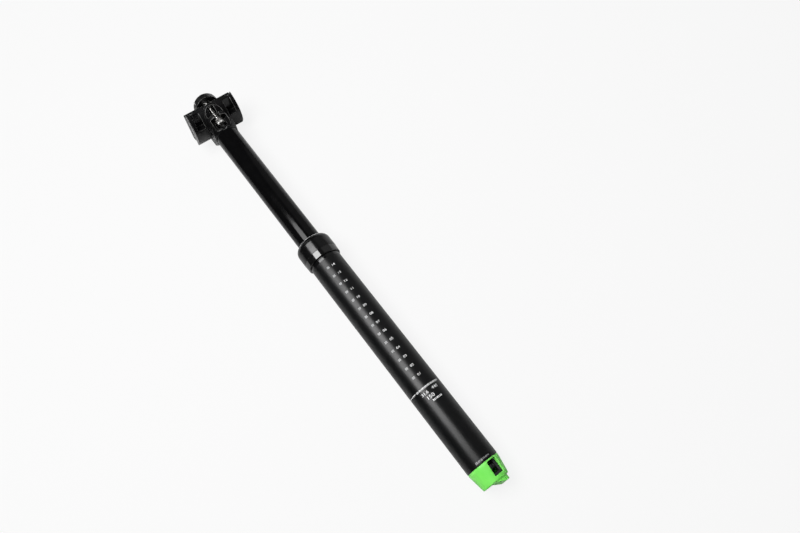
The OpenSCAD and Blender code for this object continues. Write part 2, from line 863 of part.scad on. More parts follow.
// A socket-head bolt that hangs in the head's pocket and ends just above its nut
module clamp_bolt(side) {
    tip_z = (side > 0 ? front_nut_z : rear_nut_z) + nut_d / 2 + bolt_tip;
    head_foot = washer_z - bolt_head_h;
    color("#c4c7cb")
        translate([tilt_x + side * bolt_x, 0, 0])
            difference() {
                union() {
                    translate([0, 0, head_foot])
                        cylinder(d = bolt_head_d, h = bolt_head_h);
                    translate([0, 0, head_foot])
                        cylinder(d = bolt_d, h = tip_z - head_foot);
                }
                translate([0, 0, head_foot - eps])
                    cylinder(d = socket_d, h = bolt_head_h / 2 + eps, $fn = 6);
            }
}

module front_bolt() {
    clamp_bolt(1);
}

module rear_bolt() {
    clamp_bolt(-1);
}

// A flat washer between a bolt's head and the ledge in its pocket
module clamp_washer(side) {
    color("#b8bbc0")
        translate([tilt_x + side * bolt_x, 0, 0])
            ring(washer_z, washer_h, bolt_d / 2 + thread_gap, washer_d / 2);
}

module front_washer() {
    clamp_washer(1);
}

module rear_washer() {
    clamp_washer(-1);
}

// A hollow tapered cap that plugs into the tube, with a window in its side and a leaning pull boss
module transport_cap() {
    plug_r = tube_bore - slide_gap;
    plug_top = cap_top + cap_plug_l;
    room_r = plug_r - 1.4;
    room_end_r = cap_end_r - cap_wall;
    floor_z = cap_foot + cap_wall;
    straight_z = cap_top - 2;
    window_top = cap_top - 1.4;
    window_l = cap_l - 5;
    boss_inset = 1.5;
    boss_r = cap_end_r - boss_inset;
    boss_x = 2;
    boss_y = 7;
    boss_lean = 8.5;
    boss_z = cap_foot - boss_h;
    boss_top = cap_foot + cap_wall / 2;
    slit_y = 2.8;
    slit_w = 0.8;
    slit_floor = 0.6;
    color("#45d83a")
        rotate([0, 0, cap_turn])
            difference() {
                union() {
                    rotate_extrude()
                        polygon(concat(
                            [[0, cap_foot]],
                            arc(cap_end_r - cap_round, cap_foot + cap_round, cap_round, -90, 0, 4),
                            [[cap_flange_r, straight_z], [cap_flange_r, cap_top], [plug_r, cap_top]],
                            [[plug_r, plug_top], [room_r, plug_top], [room_r, straight_z]],
                            [[room_end_r, floor_z], [0, floor_z]]
                        ));
                    intersection() {
                        translate([0, 0, boss_z])
                            cylinder(r = boss_r, h = boss_top - boss_z);
                        translate([boss_x, 0, 0])
                            rotate([90, 0, 90])
                                linear_extrude(boss_r)
                                    polygon([
                                        [-boss_y, boss_top], [-boss_y, cap_foot],
                                        [boss_lean - boss_y, boss_z], [boss_y, boss_z], [boss_y, boss_top]
                                    ]);
                    }
                }
                translate([room_end_r / 2, -window_w / 2, window_top - window_l])
                    cube([tube_d, window_w, window_l]);
                translate([0, slit_y, boss_z - eps])
                    cube([tube_d, slit_w, boss_h + eps - slit_floor]);
            }
}

outer_tube();
lock_collar();
wiper_seal();
foam_ring();
upper_bushing();
top_out_bumper();
bottom_out_bumper();
bottom_plug();
plug_o_ring();
cartridge_base();
cartridge_tube();
inner_cylinder();
cartridge_gland();
rod_seal();
cartridge_nut();
valve_retainer();
actuator_base();
lever_pivot_pin();
stanchion_tube();
saddle_head();
anti_rotation_keys();
lower_bushing();
retaining_ring();
piston_rod();
rod_piston();
piston_ring();
rod_nut();
lower_cradle();
upper_clamp();
front_barrel_nut();
rear_barrel_nut();
front_bolt();
rear_bolt();
front_washer();
rear_washer();
actuator_lever();
valve_pin();
valve_spring();
floating_piston();
floating_ring();
transport_cap();
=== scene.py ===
import json
import math

import bmesh
import bpy
import numpy as np
from mathutils import Matrix, Vector


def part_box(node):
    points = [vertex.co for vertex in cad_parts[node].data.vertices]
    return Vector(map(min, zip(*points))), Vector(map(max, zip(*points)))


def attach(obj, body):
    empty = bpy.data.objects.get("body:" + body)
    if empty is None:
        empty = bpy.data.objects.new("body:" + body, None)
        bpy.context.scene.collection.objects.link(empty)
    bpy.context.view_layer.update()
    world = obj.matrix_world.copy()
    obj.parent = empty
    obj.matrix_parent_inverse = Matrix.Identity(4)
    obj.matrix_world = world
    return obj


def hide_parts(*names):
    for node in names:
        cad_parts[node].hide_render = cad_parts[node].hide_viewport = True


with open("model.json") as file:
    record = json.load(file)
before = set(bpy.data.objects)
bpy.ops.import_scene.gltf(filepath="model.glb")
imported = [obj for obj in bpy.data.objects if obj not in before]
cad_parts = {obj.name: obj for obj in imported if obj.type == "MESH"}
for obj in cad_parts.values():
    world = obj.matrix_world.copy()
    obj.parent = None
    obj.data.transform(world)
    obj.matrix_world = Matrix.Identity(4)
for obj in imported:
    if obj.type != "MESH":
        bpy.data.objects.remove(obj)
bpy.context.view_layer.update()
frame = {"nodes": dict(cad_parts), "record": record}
scene = bpy.context.scene
scene.view_settings.view_transform = "Standard"
record = frame["record"]
slotOf = {part["node"]: part["material_slot"] for part in record["subparts"]}
bodyOf = {node: body for body, nodes in record["behaviour"]["bodies"].items() for node in nodes}
mm = 0.001
print("frame loaded:", len(frame["nodes"]), "nodes")

# camera: stands behind the post, level with the cap, and looks up along it
photoView = {
    "turn": 12.7,       # degrees from straight behind towards the rider's left
    "distance": 0.6194, # metres from the post's axis
    "height": -0.258,   # metres from the collar's foot
    "yaw": 4.833,       # degrees that the lens points right of the axis
    "pitch": 18.506,    # degrees that it points up
    "roll": -39.38,     # degrees that the picture is turned
    "focal": 700.45,    # pixels
    "width": 800,       # pixels
    "sensor": 36.0,     # millimetres across
    "near": 0.01,       # metres, the nearest thing seen
}


def viewAxes(turn):
    # towards the camera, to the right as it sees the post, and up the post, in the part's own frame
    a = math.radians(turn)
    toward, right = Vector((-math.cos(a), math.sin(a), 0)), Vector((-math.sin(a), -math.cos(a), 0))
    return toward, right, Vector((0, 0, 1))


def standAt(spot, *axes):
    # a place and three axes of its own as one matrix
    return Matrix.Translation(spot) @ Matrix(axes).transposed().to_4x4()


def placeCamera(view):
    toward, right, up = viewAxes(view["turn"])
    yaw, pitch, roll = (math.radians(view[k]) for k in ("yaw", "pitch", "roll"))
    aim = (right * math.sin(yaw) - toward * math.cos(yaw)) * math.cos(pitch) + up * math.sin(pitch)
    level = aim.cross(up).normalized()
    above = level.cross(aim)
    across = level * math.cos(roll) + above * math.sin(roll)
    upward = above * math.cos(roll) - level * math.sin(roll)
    data = bpy.data.cameras.new("photoCamera")
    data.sensor_fit = "HORIZONTAL"
    data.sensor_width = view["sensor"]
    data.lens = view["focal"] * view["sensor"] / view["width"]
    data.clip_start = view["near"]
    camera = bpy.data.objects.new("photoCamera", data)
    scene.collection.objects.link(camera)
    spot = toward * view["distance"] + up * view["height"]
    camera.matrix_world = standAt(spot, across, upward, -aim)
    scene.camera = camera


placeCamera(photoView)
print("camera placed")


# shader groups that several finishes share, with the strengths that all finishes have in common
skinLook = {
    "grainDetail": 3.0, "driftScale": 0.035, "driftDetail": 4.0, "driftRange": (0.35, 0.65),
    "lineDetail": 2.0,
    "wearDetail": 4.0, "wearNoise": 0.5, "wearStart": 1.35, "wearSoft": 0.35,
    "smearDetail": 5.0, "smearRange": (0.4, 0.7),
    "speckScale": 40.0, "speckDetail": 1.0, "speckRange": (0.74, 0.8),
    "dustShare": 0.5, "dustTone": (0.6, 0.05),   # dust's colour = drift colour * the first + the second
    "bump": 0.6, "specular": 0.5,
}


def startGroup(name, inputs, outputs):
    group = bpy.data.node_groups.new(name, "ShaderNodeTree")
    for label, value in inputs.items():
        socket = group.interface.new_socket(label, in_out="INPUT", socket_type="NodeSocketFloat")
        socket.default_value = value
    for label in outputs:
        group.interface.new_socket(label, in_out="OUTPUT", socket_type="NodeSocketFloat")
    return group, group.nodes.new("NodeGroupInput").outputs, group.nodes.new("NodeGroupOutput").inputs


def wire(tree, source, target):
    tree.links.new(source, target)


def feed(tree, value, socket):
    # a number is set, anything else is linked
    if isinstance(value, (int, float)):
        socket.default_value = value
    else:
        wire(tree, value, socket)


def mathNode(tree, kind, first, second):
    node = tree.nodes.new("ShaderNodeMath")
    node.operation = kind
    feed(tree, first, node.inputs[0])
    feed(tree, second, node.inputs[1])
    return node.outputs[0]


def noiseNode(tree, scale, detail):
    node = tree.nodes.new("ShaderNodeTexNoise")
    node.inputs["Detail"].default_value = detail
    feed(tree, scale, node.inputs["Scale"])
    wire(tree, tree.nodes.new("ShaderNodeTexCoord").outputs["Object"], node.inputs["Vector"])
    return node.outputs[0]


def rangeNode(tree, value, low, high, newLow=0.0, newHigh=1.0):
    node = tree.nodes.new("ShaderNodeMapRange")
    wire(tree, value, node.inputs["Value"])
    for label, number in (("From Min", low), ("From Max", high), ("To Min", newLow), ("To Max", newHigh)):
        feed(tree, number, node.inputs[label])
    return node.outputs["Result"]


def attributeNode(tree, name):
    node = tree.nodes.new("ShaderNodeAttribute")
    node.attribute_name = name
    return node.outputs["Fac"]


def grainGroup():
    # fine pits of a blasted or moulded skin, with a slow drift of tone over it
    group, given, out = startGroup("fineGrain", {"Scale": 2500.0}, ("Height", "Tone"))
    wire(group, noiseNode(group, given["Scale"], skinLook["grainDetail"]), out["Height"])
    slowScale = mathNode(group, "MULTIPLY", given["Scale"], skinLook["driftScale"])
    slow = noiseNode(group, slowScale, skinLook["driftDetail"])
    wire(group, rangeNode(group, slow, *skinLook["driftRange"]), out["Tone"])
    return group


def turnedGroup():
    # hair lines left by a lathe: noise stretched round the post's axis
    group, given, out = startGroup("turnedLines", {"Scale": 9000.0}, ("Height",))
    place = group.nodes.new("ShaderNodeSeparateXYZ")
    wire(group, group.nodes.new("ShaderNodeTexCoord").outputs["Object"], place.inputs[0])
    line = group.nodes.new("ShaderNodeTexNoise")
    line.noise_dimensions = "1D"
    line.inputs["Detail"].default_value = skinLook["lineDetail"]
    wire(group, mathNode(group, "MULTIPLY", place.outputs["Z"], given["Scale"]), line.inputs["W"])
    line.inputs["Scale"].default_value = 1.0
    wire(group, line.outputs[0], out["Height"])
    return group


def wearGroup():
    # bare metal where an edge has been rubbed: the mesh's edge attribute broken up by noise
    group, given, out = startGroup("edgeWear", {"Scale": 900.0, "Reach": 0.5}, ("Mask",))
    noise = noiseNode(group, given["Scale"], skinLook["wearDetail"])
    broken = mathNode(group, "MULTIPLY", noise, skinLook["wearNoise"])
    rough = mathNode(group, "ADD", attributeNode(group, "edge"), broken)
    start = mathNode(group, "SUBTRACT", skinLook["wearStart"], given["Reach"])
    end = mathNode(group, "ADD", start, skinLook["wearSoft"])
    wire(group, rangeNode(group, rough, start, end), out["Mask"])
    return group


def handledGroup():
    # smears from handling and a few specks of dust
    group, given, out = startGroup("handled", {"Scale": 60.0}, ("Smear", "Dust"))
    smears = noiseNode(group, given["Scale"], skinLook["smearDetail"])
    wire(group, rangeNode(group, smears, *skinLook["smearRange"]), out["Smear"])
    speckScale = mathNode(group, "MULTIPLY", given["Scale"], skinLook["speckScale"])
    specks = noiseNode(group, speckScale, skinLook["speckDetail"])
    wire(group, rangeNode(group, specks, *skinLook["speckRange"]), out["Dust"])
    return group


groups = {"grain": grainGroup(), "turned": turnedGroup(), "wear": wearGroup(), "handled": handledGroup()}

# finishes by the record's slot: colour, its drift, roughness range, metal, specular level, grain (per metre,
# depth in metres), depth of the turned lines, wear and its colour, and polish and shine, which say how much
# smoother and brighter a turned band is
finishes = {
    "tube_satin": {
        "color": (0.0020, 0.0021, 0.0023), "drift": (0.0031, 0.0032, 0.0035), "rough": (0.31, 0.36),
        "specular": 0.36, "polish": 0.2, "shine": 0.15, "grain": (5200, 2.5e-6), "wear": 0.25,
        "worn": (0.09, 0.09, 0.09)},
    "stanchion_gloss": {
        "color": (0.0018, 0.0018, 0.002), "drift": (0.0028, 0.0028, 0.003), "rough": (0.10, 0.13),
        "specular": 0.22, "grain": (2600, 0.6e-6), "turned": 0.5e-6},
    "collar_black": {
        "color": (0.002, 0.002, 0.0021), "drift": (0.0032, 0.0032, 0.0034), "rough": (0.19, 0.23),
        "specular": 0.42, "polish": 0.10, "shine": 0.5, "grain": (3000, 0.5e-6), "turned": 0.6e-6,
        "wear": 0.35, "worn": (0.12, 0.12, 0.12)},
    "forged_black": {
        "color": (0.0022, 0.0022, 0.0024), "drift": (0.0038, 0.0038, 0.0041), "rough": (0.24, 0.32),
        "specular": 0.42, "grain": (3200, 6e-6), "wear": 0.55, "worn": (0.16, 0.16, 0.155)},
    "bolt_steel": {
        "color": (0.60, 0.60, 0.59), "drift": (0.70, 0.69, 0.67), "rough": (0.20, 0.30), "metal": 1.0,
        "grain": (4000, 2e-6), "turned": 1.5e-6},
    "cap_green": {
        "color": (0.20, 0.88, 0.115), "drift": (0.25, 0.92, 0.15), "rough": (0.36, 0.46),
        "specular": 0.45, "grain": (1800, 4e-6), "wear": 0.35, "worn": (0.38, 0.95, 0.30)},
    "seal_rubber": {
        "color": (0.011, 0.011, 0.012), "drift": (0.017, 0.017, 0.018), "rough": (0.55, 0.70),
        "specular": 0.4, "grain": (4200, 8e-6)},
    "oil_foam": {
        "color": (0.035, 0.035, 0.038), "drift": (0.06, 0.06, 0.063), "rough": (0.85, 0.98),
        "specular": 0.2, "grain": (1500, 1.2e-4)},
    "bush_polymer": {
        "color": (0.018, 0.019, 0.021), "drift": (0.028, 0.029, 0.031), "rough": (0.42, 0.55),
        "specular": 0.5, "grain": (2600, 5e-6)},
    "bumper_rubber": {
        "color": (0.42, 0.065, 0.035), "drift": (0.50, 0.085, 0.045), "rough": (0.55, 0.70),
        "specular": 0.4, "grain": (2400, 1e-5)},
    "machined_alloy": {
        "color": (0.50, 0.51, 0.52), "drift": (0.60, 0.60, 0.61), "rough": (0.24, 0.34), "metal": 1.0,
        "grain": (3000, 2e-6), "turned": 2.5e-6},
    "cartridge_black": {
        "color": (0.018, 0.019, 0.021), "drift": (0.026, 0.027, 0.03), "rough": (0.25, 0.34),
        "specular": 0.55, "grain": (2800, 2e-6)},
    "turned_steel": {
        "color": (0.44, 0.44, 0.45), "drift": (0.54, 0.54, 0.54), "rough": (0.24, 0.34), "metal": 1.0,
        "grain": (3000, 2e-6), "turned": 3e-6},
    "polished_steel": {
        "color": (0.60, 0.61, 0.62), "drift": (0.68, 0.68, 0.68), "rough": (0.09, 0.15), "metal": 1.0,
        "grain": (2600, 0.6e-6), "turned": 0.8e-6},
    "key_brass": {
        "color": (0.58, 0.37, 0.10), "drift": (0.68, 0.46, 0.14), "rough": (0.25, 0.36), "metal": 1.0,
        "grain": (2800, 3e-6)},
    "actuator_black": {
        "color": (0.016, 0.0165, 0.018), "drift": (0.024, 0.0245, 0.026), "rough": (0.38, 0.48),
        "specular": 0.5, "grain": (3000, 6e-6), "wear": 0.4, "worn": (0.18, 0.18, 0.18)},
    "printWhite": {
        "color": (0.78, 0.79, 0.80), "drift": (0.86, 0.86, 0.86), "rough": (0.48, 0.58),
        "specular": 0.4, "grain": (5200, 3e-6)},
    "printGrey": {
        "color": (0.30, 0.305, 0.31), "drift": (0.40, 0.40, 0.405), "rough": (0.48, 0.58),
        "specular": 0.4, "grain": (5200, 3e-6)},
    # painted highlight: this light-grey, partly metallic colour goes on the strip along the collar's rim and
    # stands in for the rim's bright line of light
    "rimHighlightPaint": {
        "color": (0.66, 0.665, 0.67), "drift": (0.76, 0.76, 0.765), "rough": (0.40, 0.50),
        "metal": 0.25, "grain": (3000, 1e-6), "turned": 1e-6},
}


def placeGroup(tree, key, **values):
    node = tree.nodes.new("ShaderNodeGroup")
    node.node_tree = groups[key]
    for label, value in values.items():
        node.inputs[label].default_value = value
    return node.outputs


def mixColor(tree, mask, first, second):
    node = tree.nodes.new("ShaderNodeMix")
    node.data_type = "RGBA"
    wire(tree, mask, node.inputs["Factor"])
    for socket, value in ((node.inputs["A"], first), (node.inputs["B"], second)):
        if isinstance(value, tuple):
            socket.default_value = (*value, 1.0)
        else:
            wire(tree, value, socket)
    return node.outputs["Result"]


def bumpNode(tree, height, depth):
    node = tree.nodes.new("ShaderNodeBump")
    node.inputs["Strength"].default_value = skinLook["bump"]
    node.inputs["Distance"].default_value = depth
    wire(tree, height, node.inputs["Height"])
    return node


def makeFinish(name, look):
    # colour drifts between two tones, rubbed edges show through, smears dull the gloss and grain lifts
    # the normal
    material = bpy.data.materials.new(name)
    material.use_nodes = True
    tree = material.node_tree
    shader = tree.nodes["Principled BSDF"]
    shader.inputs["Metallic"].default_value = look.get("metal", 0.0)
    shader.inputs["Specular IOR Level"].default_value = look.get("specular", skinLook["specular"])
    scale, depth = look["grain"]
    grain = placeGroup(tree, "grain", Scale=scale)
    handled = placeGroup(tree, "handled")
    color = mixColor(tree, grain["Tone"], look["color"], look["drift"])
    if "wear" in look:
        color = mixColor(tree, placeGroup(tree, "wear", Reach=look["wear"])["Mask"], color, look["worn"])
    share, lift = skinLook["dustTone"]
    dusty = tuple(share * c + lift for c in look["drift"])
    dust = mathNode(tree, "MULTIPLY", handled["Dust"], skinLook["dustShare"])
    wire(tree, mixColor(tree, dust, color, dusty), shader.inputs["Base Color"])
    low, high = look["rough"]
    gloss = rangeNode(tree, handled["Smear"], 0.0, 1.0, low, high)
    if "polish" in look:
        band = attributeNode(tree, "polish")
        gloss = mathNode(tree, "SUBTRACT", gloss, mathNode(tree, "MULTIPLY", band, look["polish"]))
        shine = mathNode(tree, "MULTIPLY", band, look["shine"])
        wire(tree, mathNode(tree, "ADD", shine, look["specular"]), shader.inputs["Specular IOR Level"])
    wire(tree, gloss, shader.inputs["Roughness"])
    bump = bumpNode(tree, grain["Height"], depth)
    if "turned" in look:
        lines = bumpNode(tree, placeGroup(tree, "turned")["Height"], look["turned"])
        wire(tree, lines.outputs[0], bump.inputs["Normal"])
    wire(tree, bump.outputs[0], shader.inputs["Normal"])
    return material


materials = {name: makeFinish(name, look) for name, look in finishes.items()}
for name, node in frame["nodes"].items():
    node.data.materials.clear()
    node.data.materials.append(materials[slotOf[name]])
print("finishes made:", len(materials))


# mesh helpers
meshCare = {"merge": 1e-6, "sliver": 1e-7, "least": 1e-9,   # metres
            "sharp": 32,                                    # degrees from which an edge isn't smoothed
            "edgeGain": 6.0, "roundSteps": 5}


def gridFaces(rows, cols, closeRows=False, first=0):
    # quads of a grid whose columns run round and close on themselves
    i = np.arange(rows if closeRows else rows - 1)[:, None]
    j = np.arange(cols)[None, :]
    below, beside = (i + 1) % rows, (j + 1) % cols
    quads = [i * cols + j, i * cols + beside, below * cols + beside, below * cols + j]
    return first + np.stack(quads, -1).reshape(-1, 4)


def roundLoop(corners, cuts, steps=meshCare["roundSteps"]):
    # each corner P of a closed outline becomes the curve (1-s)^2 A + 2s(1-s) P + s^2 B,
    # with A and B a cut away from P
    p = np.asarray(corners, float)
    cuts = np.broadcast_to(np.asarray(cuts, float), len(p))[:, None]
    back, ahead = np.roll(p, 1, 0) - p, np.roll(p, -1, 0) - p
    a = p + back / np.linalg.norm(back, axis=1, keepdims=True) * cuts
    b = p + ahead / np.linalg.norm(ahead, axis=1, keepdims=True) * cuts
    s = np.linspace(0, 1, steps)[None, :, None]
    return ((1 - s) ** 2 * a[:, None] + 2 * s * (1 - s) * p[:, None] + s ** 2 * b[:, None]).reshape(-1, 2)


def turnedPoints(radius, height, cols):
    # a profile of radii and heights, in millimetres, carried round the post's axis:
    # x = radius * cosine of the angle, y = radius * sine of it; radius may vary with the angle
    angle = np.linspace(0, 2 * math.pi, cols, endpoint=False)[None, :]
    radius = np.broadcast_to(radius, (len(height), cols))
    tall = np.broadcast_to(np.asarray(height)[:, None], (len(height), cols))
    return np.stack([radius * np.cos(angle), radius * np.sin(angle), tall], -1).reshape(-1, 3) * mm


def readRows(items, label, wide, kind=float):
    # one field of every point, edge or triangle of a mesh as an array with a row for each
    values = np.empty(len(items) * wide, kind)
    items.foreach_get(label, values)
    return values.reshape(-1, wide)


def edgeValues(mesh):
    # how far each point stands out from its neighbours: the mean, over its edges, of minus the edge's
    # direction along the point's normal, from 0 on flats and hollows to 1 on sharp edges
    count = len(mesh.vertices)
    co, normal = readRows(mesh.vertices, "co", 3), readRows(mesh.vertices, "normal", 3)
    pairs = readRows(mesh.edges, "vertices", 2, np.int64)
    step = co[pairs[:, 1]] - co[pairs[:, 0]]
    step /= np.maximum(np.linalg.norm(step, axis=1, keepdims=True), meshCare["least"])
    lift = np.zeros(count)
    np.add.at(lift, pairs[:, 0], -np.einsum("ij,ij->i", step, normal[pairs[:, 0]]))
    np.add.at(lift, pairs[:, 1], np.einsum("ij,ij->i", step, normal[pairs[:, 1]]))
    near = np.maximum(np.bincount(pairs.ravel(), minlength=count), 1)
    return np.clip(lift / near * meshCare["edgeGain"], 0, 1)


def pointHeights(mesh):
    return readRows(mesh.vertices, "co", 3)[:, 2] / mm


def addAttribute(mesh, name, values):
    data = mesh.attributes.new(name, "FLOAT", "POINT").data
    data.foreach_set("value", np.asarray(values, np.float32))


def finishPiece(name, mesh, body, finish, replacing=(), sharp=meshCare["sharp"]):
    mesh.polygons.foreach_set("use_smooth", np.ones(len(mesh.polygons), bool))
    mesh.set_sharp_from_angle(angle=math.radians(sharp))
    mesh.materials.clear()
    mesh.materials.append(materials[finish])
    addAttribute(mesh, "edge", edgeValues(mesh))
    piece = bpy.data.objects.new(name, mesh)
    scene.collection.objects.link(piece)
    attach(piece, body)
    if replacing:
        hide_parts(*replacing)
    return piece


def meshFrom(name, points, faces, recalc=True):
    mesh = bpy.data.meshes.new(name)
    mesh.from_pydata(points, [], faces)
    work = bmesh.new()
    work.from_mesh(mesh)
    bmesh.ops.remove_doubles(work, verts=work.verts, dist=meshCare["merge"])
    bmesh.ops.dissolve_degenerate(work, edges=work.edges, dist=meshCare["sliver"])
    if recalc:
        bmesh.ops.recalc_face_normals(work, faces=work.faces)
    work.to_mesh(mesh)
    work.free()
    return mesh


def turnedShell(name, radius, height, cols):
    # a closed profile turned into one shell
    return meshFrom(name, turnedPoints(radius, height, cols), gridFaces(len(height), cols, closeRows=True))


# outer tube: one profile turned round the axis, with the key grooves let into its bore, all in millimetres
outerTube = {
    "radius": 15.8, "bore": 13.8, "foot": -234.5, "thread": 14.9, "threadTop": 10.0, "chamfer": 0.5,
    "grooveRing": 12.9, "groove": 1.55, "grooves": 3, "grooveTop": -15.0, "grooveStep": 0.01, "boreSlack": 0.05,
    "polishDrop": 3.6, "polishFade": 0.4, "cols": 384,
    "cuts": [0.2, 0.004, 0.004, 0.3, 0.12, 0.2, 0.1, 0.1, 0.12, 0.12, 0.3],  # rounding, a corner each
}


def buildTube(t):
    # groove's reach from the axis = ring * cos(turn) + root of (groove squared - (ring * sin(turn)) squared)
    bore, outside, ring, groove = t["bore"], t["radius"], t["grooveRing"], t["groove"]
    corners = [[bore, t["threadTop"]], [bore, t["grooveTop"] + t["grooveStep"]],
               [bore, t["grooveTop"] - t["grooveStep"]], [bore, t["foot"]],
               [outside - t["chamfer"], t["foot"]], [outside, t["foot"] + t["chamfer"]],
               [outside, -t["polishDrop"] - t["polishFade"]], [outside, -t["polishDrop"]], [outside, 0],
               [t["thread"], 0], [t["thread"], t["threadTop"]]]
    radius, height = roundLoop(corners, t["cuts"]).T
    angle = np.linspace(0, 2 * math.pi, t["cols"], endpoint=False)
    turn = ((angle * t["grooves"] + math.pi) % (2 * math.pi) - math.pi) / t["grooves"]
    deep = ring * np.cos(turn) + np.sqrt(np.maximum(groove ** 2 - (ring * np.sin(turn)) ** 2, 0))
    inGroove = np.abs(turn) < math.asin(groove / ring)
    bored = (radius < bore + t["boreSlack"]) & (height < t["grooveTop"])
    grooved = np.maximum(radius[:, None], deep[None, :])
    rings = np.where(bored[:, None] & inGroove[None, :], grooved, radius[:, None])
    mesh = turnedShell("tubeShell", rings, height, t["cols"])
    polish = (pointHeights(mesh) + t["polishDrop"] + t["polishFade"]) / t["polishFade"]
    addAttribute(mesh, "polish", np.clip(polish, 0, 1))
    return finishPiece("tubeShell", mesh, "post_tube", "tube_satin", ("outer_tube",))


# stanchion: a plain tube with eased ends
stanchionTube = {"radius": 12.0, "bore": 10.0, "foot": -56.5, "top": 177.5, "ease": 0.25, "cols": 256}


def buildStanchion(s):
    corners = [[s["bore"], s["top"]], [s["bore"], s["foot"]],
               [s["radius"], s["foot"]], [s["radius"], s["top"]]]
    radius, height = roundLoop(corners, s["ease"]).T
    mesh = turnedShell("stanchionShell", radius[:, None], height, s["cols"])
    return finishPiece("stanchionShell", mesh, "stanchion", "stanchion_gloss", ("stanchion_tube",))


# lock collar: a polished band, a hair groove, a straight body and a crown that falls to the rim on one arc
lockCollar = {
    "radius": 17.8, "footIn": 0.4, "footEdge": 0.4, "band": 7.0, "groove": 0.12, "crown": 5.5, "crownSteps": 16,
    "bodyDrop": 5.0, "rim": 15.0, "rimEdge": 0.4, "top": 24.0, "lid": 1.0, "sealTop": 22.2,
    "webTop": 12.8, "webFoot": 11.6, "web": 12.6, "nut": 14.93, "cols": 256, "roundSteps": 4,
    "cuts": [0.1, 0.12, 0.15, 0.1, 0.1, 0.1, 0.1], "crownCut": 0.08, "topCut": 0.1,  # rounding of the corners
    "cut": 0.45, "glintSkin": 0.02, "glintSink": 0.1, "glintDrop": 0.25, "glintRound": 0.03,  # painted highlight on the rim: a light-grey strip standing in for the rim's bright line of light
}


def buildCollar(c):
    # crown's radius = (drop squared + height squared) / (2 * drop), an arc that starts upright on the body
    outside, rim, top, edge, hair = c["radius"], c["rim"], c["top"], c["rimEdge"], c["groove"]
    drop = outside - rim
    crownR = (drop ** 2 + c["crown"] ** 2) / (2 * drop)
    sweep = np.linspace(0, math.asin(c["crown"] / crownR), c["crownSteps"])
    crownFoot = top - edge - c["crown"]
    crown = np.stack([outside - crownR + crownR * np.cos(sweep), crownFoot + crownR * np.sin(sweep)], -1)
    foot = outside - c["footIn"]
    below = [[c["nut"], 0], [foot - c["footEdge"], 0], [foot, c["footEdge"]],
             [outside - hair, c["band"] - hair], [outside - 2 * hair, c["band"]],
             [outside, c["band"] + hair], [outside, crownFoot - c["bodyDrop"]]]
    above = [[rim - edge, top], [rim - c["lid"], top], [rim - c["lid"], c["sealTop"]], [rim, c["sealTop"]],
             [rim, c["webTop"]], [c["web"], c["webTop"]], [c["web"], c["webFoot"]], [c["nut"], c["webFoot"]]]
    corners = np.concatenate([below, crown, above])
    cuts = np.concatenate([c["cuts"], np.full(len(crown), c["crownCut"]), np.full(len(above), c["topCut"])])
    radius, height = roundLoop(corners, cuts, c["roundSteps"]).T
    mesh = turnedShell("collarShell", radius[:, None], height, c["cols"])
    addAttribute(mesh, "polish", pointHeights(mesh) < c["band"])
    finishPiece("collarShell", mesh, "post_tube", "collar_black", ("lock_collar",))
    # a painted highlight: a light-grey strip along the rim, a hair outside the collar's own bevel, stands in
    # for the rim's bright line of light
    inner, skin = rim - edge - c["cut"], c["glintSkin"]
    bevel = [[inner, top - c["glintSink"]], [rim + skin, top - edge - c["glintDrop"]],
             [rim + skin, top - edge + skin], [rim - edge, top + skin], [inner, top + skin]]
    radius, height = roundLoop(bevel, c["glintRound"], c["roundSteps"]).T
    mesh = turnedShell("collarRimGlint", radius[:, None], height, c["cols"])
    return finishPiece("collarRimGlint", mesh, "post_tube", "rimHighlightPaint")


buildTube(outerTube)
buildStanchion(stanchionTube)
buildCollar(lockCollar)
print("tubes and collar turned")

# forged and moulded pieces: a merged copy of the solid, gone over with fine voxels and smoothed to ease
# its edges; voxel in millimetres, sharp in degrees
easing = {"factor": 0.5, "sharp": 60}
eased = {
    "headBody": {"node": "saddle_head", "voxel": 0.36, "passes": 6},
    "cradleBody": {"node": "lower_cradle", "voxel": 0.34, "passes": 6},
    "clampBody": {"node": "upper_clamp", "voxel": 0.34, "passes": 8},
    "capBody": {"node": "transport_cap", "voxel": 0.36, "passes": 5},
}


def evaluatedMesh(holder):
    # the mesh that an object gives with its modifiers or its text; the object itself goes
    done = bpy.data.meshes.new_from_object(holder.evaluated_get(bpy.context.evaluated_depsgraph_get()))
    bpy.data.objects.remove(holder)
    return done


def easeSolid(name, e):
    mesh = frame["nodes"][e["node"]].data.copy()
    work = bmesh.new()
    work.from_mesh(mesh)
    bmesh.ops.remove_doubles(work, verts=work.verts, dist=meshCare["merge"])
    work.to_mesh(mesh)
    work.free()
    rough = bpy.data.objects.new(name + "Rough", mesh)
    scene.collection.objects.link(rough)
    remesh = rough.modifiers.new("voxels", "REMESH")
    remesh.mode = "VOXEL"
    remesh.voxel_size = e["voxel"] * mm
    smooth = rough.modifiers.new("ease", "SMOOTH")
    smooth.factor = easing["factor"]
    smooth.iterations = e["passes"]
    done = evaluatedMesh(rough)
    done.name = name
    node = e["node"]
    return finishPiece(name, done, bodyOf[node], slotOf[node], (node,), sharp=easing["sharp"])


for name, e in eased.items():
    piece = easeSolid(name, e)
    print(name, "eased:", len(piece.data.polygons), "faces")

